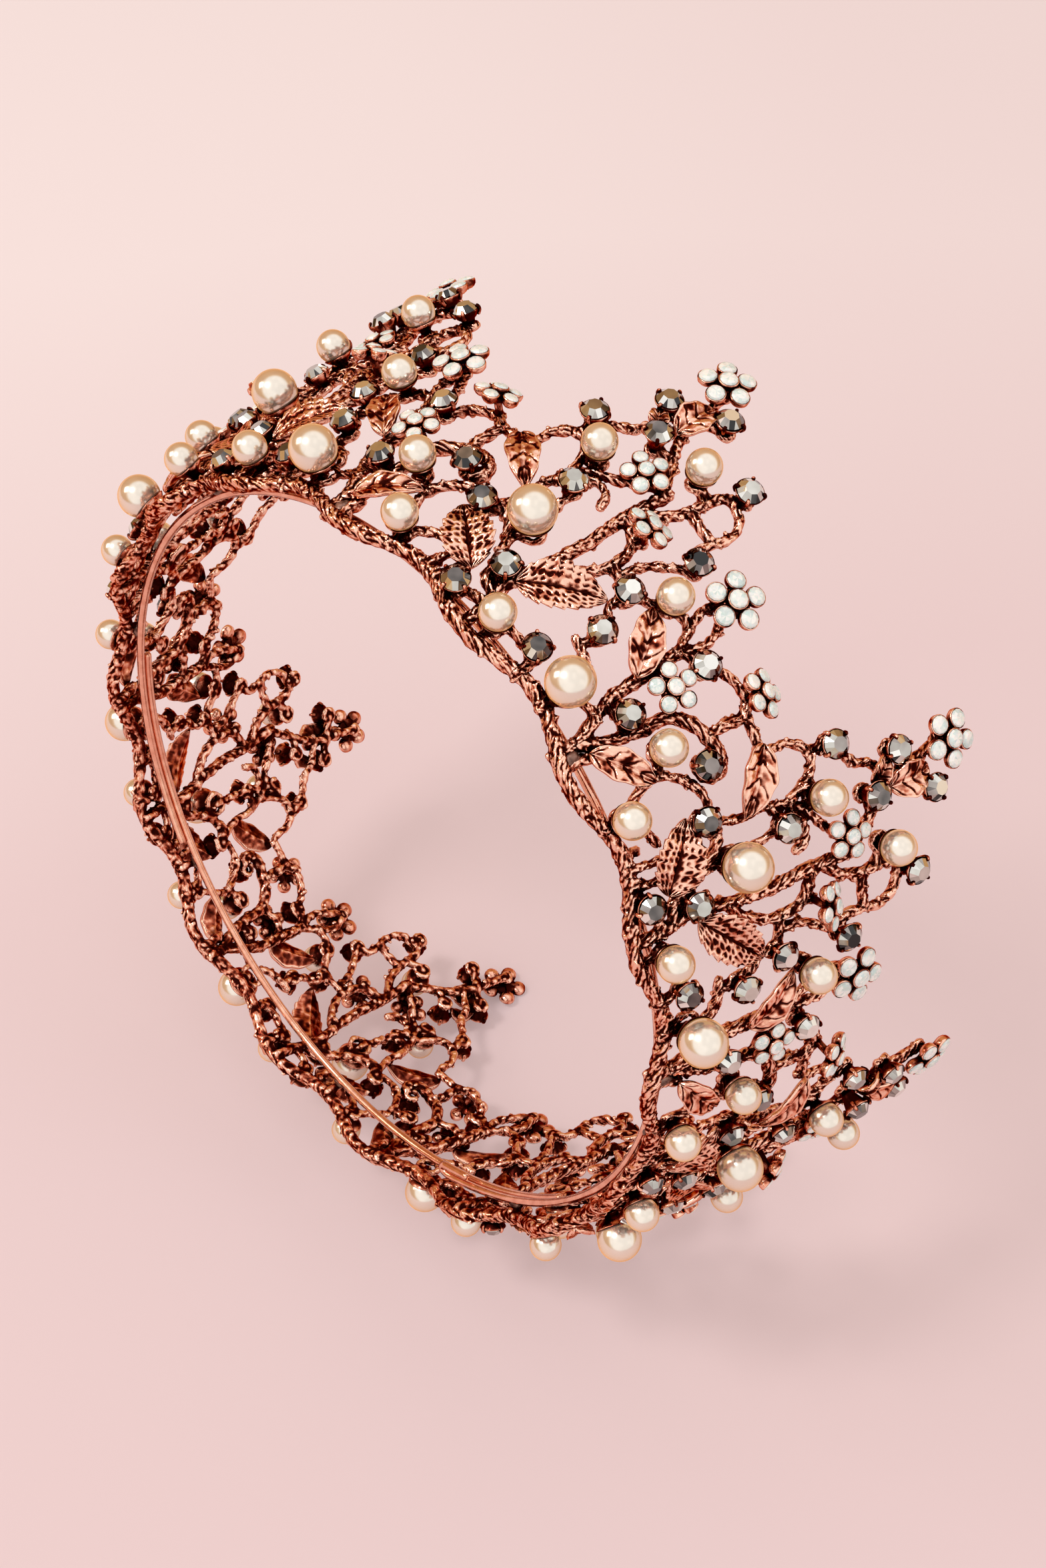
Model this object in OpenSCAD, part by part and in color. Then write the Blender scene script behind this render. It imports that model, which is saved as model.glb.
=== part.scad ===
// Full-round baroque crown: cast vine panels soldered into a ring and stiffened by two ring wires.
// Every panel carries leaves, pearls on pegs, faceted crystals in cups and opals in five-petal flowers.

/* [Ring] */
// Radius of the rail circle, to the middle of the twig
ring_r = 74; // [68:1:86]
// Cast panels in the ring
panels = 8; // [7:1:8]
// Thickness of the twig that forms the rail
rail_d = 2.7; // [2.2:0.1:3]
// How far the rail swings above and below its middle
rail_wave = 1.8; // [0.8:0.1:2.2]
// Depth filed off the rail's dips, so that the crown stands flat
foot_flat = 0.35; // [0.2:0.05:0.5]

/* [Wall] */
// Height of the tip flower above the drawing's zero line
tip_h = 60.5; // [54:0.5:68]
// How far the wall leans out between the rail and the tip
flare = 13; // [8:0.5:18]

/* [Vines and leaves] */
// Thickness of the main stems
stem_d = 2.3; // [2:0.1:2.5]
// Width of the twigs, which stand out as far as the stems
twig_w = 1.8; // [1.5:0.1:2.1]
// Thickness of a leaf at its midrib
leaf_t = 1; // [0.8:0.1:1.4]
// How far the middle of a leaf arches out
leaf_arch = 1; // [0.4:0.1:1.6]

/* [Pearls] */
// Diameter of the large pearls
large_pearl_d = 8; // [7:0.1:8.4]
// Diameter of the small pearls
small_pearl_d = 6; // [5:0.1:6.4]
// Height of a pearl's cup above the wall
pearl_seat = 2.2; // [1.8:0.1:3]
// Diameter of a cup's rim as a share of its pearl
pearl_rim = 0.6; // [0.5:0.02:0.7]
// Thickness of the peg that a pearl is glued on
peg_d = 1; // [0.8:0.1:1.2]
// Length of the peg above the cup
peg_h = 2.4; // [1.5:0.1:3]
// Glue gap round the peg
peg_gap = 0.1; // [0.05:0.05:0.2]

/* [Crystals] */
// Diameter of a crystal at its girdle
crystal_d = 4.6; // [4:0.1:5]
// Height of a crystal's cup above the wall
crystal_seat = 1.8; // [1.6:0.1:2.2]
// Depth of a crystal below the girdle
crystal_back = 1.1; // [0.8:0.1:1.4]
// Height of a crystal above the girdle
crystal_crown = 1.1; // [0.8:0.1:1.4]

/* [Opal flowers] */
// Diameter of the opals in the large flowers
large_opal_d = 3; // [2.6:0.1:3.2]
// Diameter of the opals in the small flowers
small_opal_d = 2.4; // [2:0.1:2.6]
// Gap between an opal and the next one towards the middle of its flower
opal_gap = 0.25; // [0.2:0.05:0.6]
// Rim of metal that stands out round an opal
petal_rim = 0.25; // [0.2:0.05:0.4]
// Thickness of a flower's petals
petal_t = 1.2; // [0.8:0.1:1.6]
// Height of the middle of a flower above its petals
heart_h = 0.8; // [0.4:0.1:1.2]
// Height of an upright flower's petals above the stems
stalk_h = 0.5; // [0.3:0.1:1]

/* [Ring wires] */
// Thickness of the ring wires
wire_d = 1.6; // [1.2:0.1:2]
// Height of the long ring wire
wire_z = 6; // [5:0.1:7]
// Gap between the rail and the wires
wire_gap = 0.9; // [0.6:0.1:1.4]
// Gap between the two wires where they lie side by side
wire_lap_gap = 0.05; // [0.05:0.05:0.2]
// Angle where the long wire starts
long_start = 90; // [80:1:100]
// Angle that the long wire covers
long_span = 282; // [260:1:300]
// Angle where the short wire starts
short_start = -15; // [-20:1:-8]
// Angle that the short wire covers
short_span = 140; // [120:1:150]
// Diameter of a solder joint
solder_d = 2; // [1.5:0.1:2.4]
// Thickness of the solder between a lug and a wire
solder_t = 0.4; // [0.3:0.1:0.6]

/* [Hidden] */
// The panel is drawn flat, in millimetres: u runs along the rail and v runs up the wall
drawn_pitch = 58;
drawn_h = 60;
// Place of the soldered joint with the panel on the left
joint_u = -3;
// Place of the rail's first crest, which carries the solder lug
crest_u = 15.2;
// Height of the drawing's zero line above the middle of the rail
zero_rise = 0.5;
// Share of the flare by which the wall bows outwards
bow = 0.6;
// Angle of the first panel's zero line, which turns its tip to the front
first_turn = -106.3;
// How far a peg or a stalk runs into the piece that it grows from
root = 0.5;
// Width of a cup's foot as a share of its rim
cup_foot = 0.5;
// Height of a crystal's girdle, and its flat back and table as shares of its width
girdle_h = 0.2;
culet_share = 0.6;
table_share = 0.55;
// Height of an opal's dome as a share of its diameter
opal_dome = 0.32;
// Angle of the stretch of wire that is cut out of a solder joint
solder_cut = 12;

copper = [0.72, 0.43, 0.33];
pearl_cream = [0.95, 0.88, 0.76];
hematite = [0.42, 0.40, 0.39];
opal_white = [0.93, 0.94, 0.92];
leaf_copper = [0.78, 0.50, 0.40];
solder_grey = [0.45, 0.30, 0.25];

rail_sides = 6;
rail_steps = 20;
round_fn = 48;
ring_fn = 240;

rail_mid_z = rail_d / 2 - foot_flat + rail_wave;
zero_z = rail_mid_z + zero_rise;
panel_turn = 360 / panels;
wire_r = ring_r - rail_d / 2 - wire_gap - wire_d / 2;
lug_face_r = wire_r + wire_d / 2 + solder_t;
lug_w = 2.4;
lug_top_z = wire_z + 2 * wire_d;
short_wire_z = wire_z + wire_d + wire_lap_gap;
// Level of the stems' outer face, on which leaves and settings are soldered
face = stem_d / 2;
twig_back = 0.4;

// Pearls: place along the rail and height on the wall
large_pearls = [[22.4, 16.8], [46, 4.6]];
small_pearls = [[9.2, 3], [2.6, 12.6], [19, 33.5], [30.3, 43.5], [31.8, 2.4], [43.4, 25.7]];

// Crystals: place along the rail, height on the wall and extra height of the cup
crystals = [
    [20.9, 26.4, 0], [13.3, 38.7, 0], [14.6, 14.1, 0], [22.3, 42.5, 1.2],
    [25.8, 54.6, 0], [36, 48.1, 0], [25.7, 8.9, 0], [23, 1.7, 0],
    [39.1, 21.1, 0], [41.8, 13.9, 0], [40.8, 33.1, 0], [38.9, 4.3, 0],
    [53.4, 24.8, 0], [65.5, 17.7, 0], [18.3, 49.5, 0], [54, 10.5, 0]
];

// Flowers: place, height, extra height of the stalk, upward tilt, opal diameter and turn of the petals
flowers = [
    [20.6, 60, 0, 0, large_opal_d, 10],
    [25.9, 36.3, 0, 0, small_opal_d, 30],
    [33.6, 28.9, 2, 35, small_opal_d, 0],
    [47.9, 34.5, 0, 0, large_opal_d, 20],
    [53.8, 18.4, 0, 0, small_opal_d, 40],
    [60.3, 29.5, 1.8, 30, small_opal_d, 15]
];

// Main stems, as places on the wall
stems = [
    [[28.5, -2], [28, 4], [27.4, 9], [28.5, 15.5], [29.2, 23], [29, 31], [29.4, 38]],
    [[53.6, -1.4], [53.1, 3], [51, 8.5], [50.2, 15], [49.8, 23]],
    [
        [53.6, 1.5], [55.6, 5], [56.8, 11.5], [57, 16], [58.6, 18.5],
        [61.5, 20.4], [65.5, 21], [67.4, 19.6], [66.6, 17.6]
    ],
    [[28.4, 14.5], [30.6, 16], [33.4, 20.5], [33.8, 24], [32.8, 28], [29.2, 29.8]],
    [[29.4, 37.6], [25, 44], [22.6, 49], [21.5, 55], [20.7, 60.4]]
];

// Twigs, as places on the wall
twigs = [
    [[49.8, 23], [48, 26.5], [47, 33]],
    [[49.8, 23], [50.7, 27], [48.8, 33]],
    [[62, 20.4], [62, 25], [60.5, 29.2]],
    [[6.2, 9], [6.2, 11.5], [9.3, 15.2], [15.6, 14.6]],
    [[6.2, 11], [2.6, 12.6]],
    [[14.6, 14.4], [18.5, 15.4], [21.5, 12.7], [23.8, 7.8], [27.8, 5.4]],
    [[15, 14.4], [17.2, 21], [17.2, 25], [20, 31], [24, 34], [29.4, 38]],
    [[9, 27.6], [10.3, 32], [13, 35.2], [16.3, 33.6], [18.6, 28.6]],
    [[33.8, 22.6], [39, 21.3], [41.8, 24], [43.4, 25.8], [48.2, 26.6]],
    [[36, 22], [37, 27.5], [40.6, 32.8], [38.9, 36.5], [39.6, 41], [38.6, 45], [35.2, 47]],
    [[41.8, 13.8], [38.6, 17.8], [39.1, 21.3]],
    [[41.8, 13.8], [45, 10.8], [46.2, 6.4]],
    [[46.5, 1], [46, 4.8], [52, 6.4]],
    [[40, 0.6], [38.8, 4.6]],
    [[31.8, -2], [31.8, 3]],
    [[29, 31], [32.5, 36], [33.5, 41], [34.4, 45.5], [36, 48.4]],
    [[33.6, 41.5], [30.2, 43.6]],
    [[33.1, 38.8], [39.2, 38.6]],
    [[13, 35.2], [13.4, 38.8], [17.8, 43], [20.5, 46], [22.8, 48.6]],
    [[16.3, 33.6], [19, 33.6], [20.6, 31.5]],
    [[17.2, 25.6], [20.8, 26.4], [21.7, 22], [22.4, 16.8], [21.3, 13]],
    [[20.8, 26.4], [20.6, 29.8], [23.5, 30.2], [25.4, 28.2]],
    [[9.4, -0.2], [9.2, 3.4]],
    [[20, 0.4], [20.4, 6.8]],
    [[23, -0.8], [23, 2.4]],
    [[51, 8.6], [54, 10.4], [56.6, 9.8]],
    [[50.2, 17], [53.8, 18.4], [57, 16.4]],
    [[49.8, 23], [53.4, 24.7], [60.6, 29]],
    [[18.2, 49.4], [22, 52], [26, 54.8]],
    [[22, 42.4], [25.6, 43.2]],
    [[-1.3, -1.8], [-1.5, 1.2], [-0.9, 3.4]]
];

// Leaves: base, tip, full width and whether the edge is toothed
leaves = [
    [[-2, 2.6], [6.4, 9.6], 4.2, false],
    [[22.6, 5], [13, 11.6], 7.6, true],
    [[28.4, 8.6], [38.4, 17.8], 7, true],
    [[8.6, 27.8], [17, 20.4], 4.6, false],
    [[50, 14.6], [42.6, 23], 4.4, false],
    [[22.8, 46.4], [22.8, 55], 5, false],
    [[21.2, 43.6], [18.2, 47.6], 3, false]
];
// Stations along a leaf, and the share of its width at each
smooth_stations = [[0, 0.3], [0.28, 0.9], [0.55, 1], [0.85, 0.5], [1, 0.1]];
toothed_stations = [
    [0, 0.2], [0.15, 0.85], [0.24, 0.75], [0.4, 1], [0.5, 0.88],
    [0.65, 0.9], [0.75, 0.68], [0.86, 0.5], [1, 0.1]
];

panel_kinds = ["vine_casting", "leaves", "settings", "large_pearls", "small_pearls", "crystals", "opals"];

// The wall: where a drawn place lies, and which way is out

function unit(a) = a / norm(a);
function turn_of(u) = u / drawn_pitch * panel_turn;
function up(v) = v / drawn_h;
function wall_r(v) = ring_r + flare * ((1 + bow) * up(v) - bow * pow(up(v), 2));
function wall_z(v) = zero_z + tip_h * up(v);
function lean(v) = atan(flare * (1 + bow - 2 * bow * up(v)) / tip_h);
function outward(u, v) = [
    cos(lean(v)) * cos(turn_of(u)), cos(lean(v)) * sin(turn_of(u)), -sin(lean(v))
];
function lift_of(p) = len(p) > 2 ? p[2] : 0;
function on_wall(p) =
    [wall_r(p[1]) * cos(turn_of(p[0])), wall_r(p[1]) * sin(turn_of(p[0])), wall_z(p[1])]
    + lift_of(p) * outward(p[0], p[1]);

// Puts a piece on the wall, with its +Z pointing out of it
module at(u, v, lift = 0, tilt = 0) {
    rotate([0, 0, turn_of(u)])
        translate([wall_r(v), 0, wall_z(v)])
            rotate([0, 90 + lean(v), 0])
                translate([0, 0, lift])
                    rotate([0, -tilt, 0])
                        children();
}

module in_panel(i) {
    rotate([0, 0, first_turn + (i - 1) * panel_turn]) children();
}

// Faces of a tube whose rings have the same number of points
function tube_faces(rings, sides) = [
    [for (k = [sides - 1:-1:0]) k],
    for (i = [0:rings - 2], k = [0:sides - 1])
        let (a = i * sides + k, b = i * sides + (k + 1) % sides)
        each [[a, b, a + sides], [b, b + sides, a + sides]],
    [for (k = [0:sides - 1]) (rings - 1) * sides + k]
];

// Cross-sections, as points [across the wall's surface, out of the wall] in turning order
stem_section = [[-1, 1], [-1, -1], [1, -1], [1, 1]] * stem_d / 2;
twig_section = [[-twig_w / 2, -twig_back], [twig_w / 2, -twig_back], [0, face]];
function leaf_section(width) = [[-width / 2, 0], [0, -leaf_t / 2], [width / 2, 0], [0, leaf_t / 2]];

// One ring of a sweep: its section stands square to the path
function section_ring(p, along, out, section) =
    let (deep = unit(out - (out * along) * along), wide = cross(along, deep))
    [for (s = section) p + s[0] * wide + s[1] * deep];

// A stem, twig or leaf that follows places on the wall
module swept(path, sections) {
    last = len(path) - 1;
    spots = [for (p = path) on_wall(p)];
    points = [
        for (i = [0:last])
            let (along = unit(spots[min(i + 1, last)] - spots[max(i - 1, 0)]))
            each section_ring(spots[i], along, outward(path[i][0], path[i][1]), sections[i])
    ];
    polyhedron(points, tube_faces(last + 1, len(sections[0])), convexity = 6);
}

module stem(path) {
    swept(path, [for (p = path) stem_section]);
}

// A straight twig is convex, so its hull is the twig itself
module twig(path) {
    if (len(path) == 2)
        hull() swept(path, [for (p = path) twig_section]);
    else
        swept(path, [for (p = path) twig_section]);
}

module leaf(base, tip, width, toothed) {
    stations = toothed ? toothed_stations : smooth_stations;
    path = [for (s = stations)
        [base[0] + s[0] * (tip[0] - base[0]), base[1] + s[0] * (tip[1] - base[1]),
            face + leaf_t / 2 + leaf_arch * sin(180 * s[0])]];
    swept(path, [for (s = stations) leaf_section(s[1] * width)]);
}

// The rail: its rings lie in radial planes, so that neighbours meet face to face
function rail_height(u) = rail_mid_z + rail_wave * cos(720 * (u - crest_u) / drawn_pitch);

module rail() {
    half = rail_d / 2 / cos(180 / rail_sides);
    points = [
        for (i = [0:rail_steps])
            let (u = joint_u + drawn_pitch * i / rail_steps)
            each [for (k = [0:rail_sides - 1])
                let (a = 360 * k / rail_sides, r = ring_r + half * cos(a))
                [r * cos(turn_of(u)), r * sin(turn_of(u)), max(0, rail_height(u) + half * sin(a))]]
    ];
    polyhedron(points, tube_faces(rail_steps + 1, rail_sides), convexity = 6);
}

// Flat lug behind the rail's first crest, where the ring wires are soldered
module solder_lug() {
    rotate([0, 0, turn_of(crest_u)])
        translate([lug_face_r, -lug_w / 2, rail_height(crest_u)])
            cube([ring_r - lug_face_r, lug_w, lug_top_z - rail_height(crest_u)]);
}

module vine_casting() {
    color(copper) {
        rail();
        solder_lug();
        for (path = stems) stem(path);
        for (path = twigs) twig(path);
    }
}

module leaf_set() {
    color(leaf_copper) for (l = leaves) leaf(l[0], l[1], l[2], l[3]);
}

// A cup that widens from its foot on the stems to the rim under its stone
module cup(seat, rim_d) {
    translate([0, 0, face]) cylinder(d1 = cup_foot * rim_d, d2 = rim_d, h = seat - face, $fn = round_fn);
}

module pearl_cup(place, pearl_d) {
    at(place[0], place[1]) {
        cup(pearl_seat, pearl_rim * pearl_d);
        translate([0, 0, pearl_seat - root]) cylinder(d = peg_d, h = root + peg_h, $fn = round_fn);
    }
}

function petal_ring(opal_d) = opal_d + opal_gap;
function flower_level(f) = face + stalk_h + f[2];

// Five petal cups round a raised heart, on a stalk
module flower(f) {
    cup_d = f[4] + 2 * petal_rim;
    at(f[0], f[1], face) cylinder(d = f[4] / 2, h = stalk_h + f[2] + root, $fn = round_fn);
    at(f[0], f[1], flower_level(f), f[3]) {
        for (k = [0:4])
            rotate([0, 0, f[5] + 72 * k])
                translate([petal_ring(f[4]), 0, 0]) cylinder(d = cup_d, h = petal_t, $fn = round_fn);
        cylinder(d = cup_d, h = petal_t + heart_h, $fn = round_fn);
    }
}

module setting_set() {
    color(copper) {
        for (p = large_pearls) pearl_cup(p, large_pearl_d);
        for (p = small_pearls) pearl_cup(p, small_pearl_d);
        for (c = crystals) at(c[0], c[1]) cup(crystal_seat + c[2], crystal_d);
        for (f = flowers) flower(f);
    }
}

// A pearl: a ball cut flat where it sits on its cup, and half-drilled for the peg
module pearl(place, pearl_d) {
    flat_r = pearl_rim * pearl_d / 2;
    middle = sqrt(pow(pearl_d / 2, 2) - pow(flat_r, 2));
    at(place[0], place[1], pearl_seat)
        difference() {
            translate([0, 0, middle]) sphere(d = pearl_d, $fn = round_fn);
            translate([0, 0, -pearl_d / 2]) cube([pearl_d, pearl_d, pearl_d], center = true);
            translate([0, 0, -root])
                cylinder(d = peg_d + 2 * peg_gap, h = root + peg_h + peg_gap, $fn = round_fn);
        }
}

module pearl_set(places, pearl_d) {
    color(pearl_cream) for (p = places) pearl(p, pearl_d);
}

// A crystal: a cone below the girdle and a shallower cone with a flat table above it
module crystal(c) {
    girdle_r = crystal_d / 2;
    girdle_top = crystal_back + girdle_h;
    at(c[0], c[1], crystal_seat + c[2])
        rotate_extrude($fn = round_fn)
            polygon([
                [0, 0], [girdle_r * culet_share, 0], [girdle_r, crystal_back], [girdle_r, girdle_top],
                [girdle_r * table_share, girdle_top + crystal_crown], [0, girdle_top + crystal_crown]
            ]);
}

module crystal_set() {
    color(hematite) for (c = crystals) crystal(c);
}

// An opal: a low dome with a flat back, cut from a larger ball
module opal(opal_d) {
    dome_h = opal_dome * opal_d;
    ball_r = (pow(opal_d / 2, 2) + pow(dome_h, 2)) / (2 * dome_h);
    difference() {
        translate([0, 0, dome_h - ball_r]) sphere(r = ball_r, $fn = round_fn);
        translate([0, 0, -ball_r]) cube(2 * ball_r, center = true);
    }
}

module opal_set() {
    color(opal_white)
        for (f = flowers)
            at(f[0], f[1], flower_level(f), f[3]) {
                for (k = [0:4])
                    rotate([0, 0, f[5] + 72 * k])
                        translate([petal_ring(f[4]), 0, petal_t]) opal(f[4]);
                translate([0, 0, petal_t + heart_h]) opal(f[4]);
            }
}

// The ring wires and their solder

module ring_wire(start, span, z) {
    color(copper)
        rotate([0, 0, start])
            rotate_extrude(angle = span, $fn = ring_fn)
                translate([wire_r, z]) circle(d = wire_d, $fn = round_fn);
}

function covers(a, start, span) = (a - start + 720) % 360 <= span;

// A drop of solder from a lug's flat face to the wire
module solder(turn, z) {
    rotate([0, 0, turn])
        difference() {
            translate([wire_r, 0, z])
                rotate([0, 90, 0]) cylinder(d = solder_d, h = lug_face_r - wire_r, $fn = round_fn);
            rotate([0, 0, -solder_cut / 2])
                rotate_extrude(angle = solder_cut, $fn = ring_fn)
                    translate([wire_r, z]) circle(d = wire_d, $fn = round_fn);
        }
}

module solder_joints() {
    color(solder_grey)
        for (i = [0:panels - 1]) {
            turn = first_turn + i * panel_turn + turn_of(crest_u);
            if (covers(turn, long_start, long_span)) solder(turn, wire_z);
            if (covers(turn, short_start, short_span)) solder(turn, short_wire_z);
        }
}

for (i = [1:panels]) {
    in_panel(i) vine_casting();
    in_panel(i) leaf_set();
    in_panel(i) setting_set();
    in_panel(i) pearl_set(large_pearls, large_pearl_d);
    in_panel(i) pearl_set(small_pearls, small_pearl_d);
    in_panel(i) crystal_set();
    in_panel(i) opal_set();
}
ring_wire(long_start, long_span, wire_z);  // ring_wire_long
ring_wire(short_start, short_span, short_wire_z);  // ring_wire_short
solder_joints();
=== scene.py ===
"""Looks of a full-round baroque crown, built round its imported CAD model.

Shapes are made in millimetres and turned into metres when a mesh is made.
A place on the crown's wall is (u, v): u runs along the rail and v runs up the wall.
"""
import math
import random
from collections import namedtuple

import bpy
import numpy as np
from mathutils import Matrix, Vector, noise
from mathutils.kdtree import KDTree


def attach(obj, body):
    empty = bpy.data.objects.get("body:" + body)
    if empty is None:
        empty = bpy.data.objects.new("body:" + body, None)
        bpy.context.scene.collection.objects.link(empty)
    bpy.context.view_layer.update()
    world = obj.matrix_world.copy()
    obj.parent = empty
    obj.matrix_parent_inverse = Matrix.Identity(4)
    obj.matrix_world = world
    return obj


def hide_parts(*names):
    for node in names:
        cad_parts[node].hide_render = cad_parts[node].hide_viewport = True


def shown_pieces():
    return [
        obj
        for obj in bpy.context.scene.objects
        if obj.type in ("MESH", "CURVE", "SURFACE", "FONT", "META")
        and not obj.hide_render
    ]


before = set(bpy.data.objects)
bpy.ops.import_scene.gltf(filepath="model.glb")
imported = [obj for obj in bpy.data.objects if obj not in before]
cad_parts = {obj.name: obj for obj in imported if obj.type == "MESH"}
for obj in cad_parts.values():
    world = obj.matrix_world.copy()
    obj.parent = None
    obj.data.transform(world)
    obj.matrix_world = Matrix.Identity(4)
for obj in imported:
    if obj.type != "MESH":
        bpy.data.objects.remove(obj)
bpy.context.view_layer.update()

MM = 0.001

# The ring and its wall, as in the CAD source
PANELS = 8
RING_R = 74.0
PITCH = 58.0
DRAWN_H = 60.0
TIP_H = 60.5
FLARE = 13.0
BOW = 0.6
RAIL_D = 2.7
RAIL_WAVE = 1.8
RAIL_WAVES = 2
FOOT_FLAT = 0.35
ZERO_RISE = 0.5
RAIL_MID_Z = RAIL_D / 2 - FOOT_FLAT + RAIL_WAVE
ZERO_Z = RAIL_MID_Z + ZERO_RISE
JOINT_U = -3.0
CREST_U = 15.2
FIRST_TURN = -106.3
# Level of the stems' outer face above the wall
FACE = 1.15

# Pearls
LARGE_PEARL_D = 8.0
SMALL_PEARL_D = 6.0
PEARL_SEAT = 2.2
PEARL_RIM = 0.6
LARGE_PEARLS = [(22.4, 16.8), (46, 4.6)]
SMALL_PEARLS = [(9.2, 3), (2.6, 12.6), (19, 33.5), (30.3, 43.5), (31.8, 2.4), (43.4, 25.7)]
PEARLS = [(place, LARGE_PEARL_D) for place in LARGE_PEARLS]
PEARLS += [(place, SMALL_PEARL_D) for place in SMALL_PEARLS]

# Crystals: place and extra height of the cup
CRYSTAL_D = 4.6
CRYSTAL_SEAT = 1.8
CRYSTAL_BACK = 1.1
CRYSTAL_CROWN = 1.1
GIRDLE_H = 0.2
CRYSTALS = [
    (20.9, 26.4, 0), (13.3, 38.7, 0), (14.6, 14.1, 0), (22.3, 42.5, 1.2),
    (25.8, 54.6, 0), (36, 48.1, 0), (25.7, 8.9, 0), (23, 1.7, 0),
    (39.1, 21.1, 0), (41.8, 13.9, 0), (40.8, 33.1, 0), (38.9, 4.3, 0),
    (53.4, 24.8, 0), (65.5, 17.7, 0), (18.3, 49.5, 0), (54, 10.5, 0),
]

# Flowers: place, extra height of the stalk, upward tilt, opal diameter and turn of the petals
LARGE_OPAL_D = 3.0
SMALL_OPAL_D = 2.4
OPAL_GAP = 0.25
PETAL_RIM = 0.25
PETAL_T = 1.2
HEART_H = 0.8
STALK_H = 0.5
Flower = namedtuple("Flower", "u v extra tilt opal_d turn")
FLOWERS = [
    Flower(20.6, 60, 0, 0, LARGE_OPAL_D, 10),
    Flower(25.9, 36.3, 0, 0, SMALL_OPAL_D, 30),
    Flower(33.6, 28.9, 2, 35, SMALL_OPAL_D, 0),
    Flower(47.9, 34.5, 0, 0, LARGE_OPAL_D, 20),
    Flower(53.8, 18.4, 0, 0, SMALL_OPAL_D, 40),
    Flower(60.3, 29.5, 1.8, 30, SMALL_OPAL_D, 15),
]

# Leaves: base, tip, full width, toothed edge, and sideways twist in degrees
LEAF_T = 1.0
LEAF_ARCH = 1.0
LEAVES = [
    ((-2, 2.6), (6.4, 9.6), 4.8, False, 0),
    ((22.6, 5), (13, 11.6), 7.8, True, 0),
    ((28.4, 8.6), (38.4, 17.8), 7.2, True, 10),
    ((8.6, 27.8), (17, 20.4), 5.2, False, 0),
    ((50, 14.6), (42.6, 23), 5.2, False, 0),
    ((22.8, 46.4), (22.8, 55), 5, False, 0),
    ((21.2, 43.6), (18.2, 47.6), 3, False, 0),
]

# Ring wires: radius, thickness, and each one's height, start and span in degrees
WIRE_R = 70.95
WIRE_D = 1.6
Wire = namedtuple("Wire", "z start span")
LONG_WIRE = Wire(6.0, 90, 282)
SHORT_WIRE = Wire(7.65, -15, 140)
LUG_FACE_R = 72.15
LUG_TOP_Z = 8.4

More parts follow.
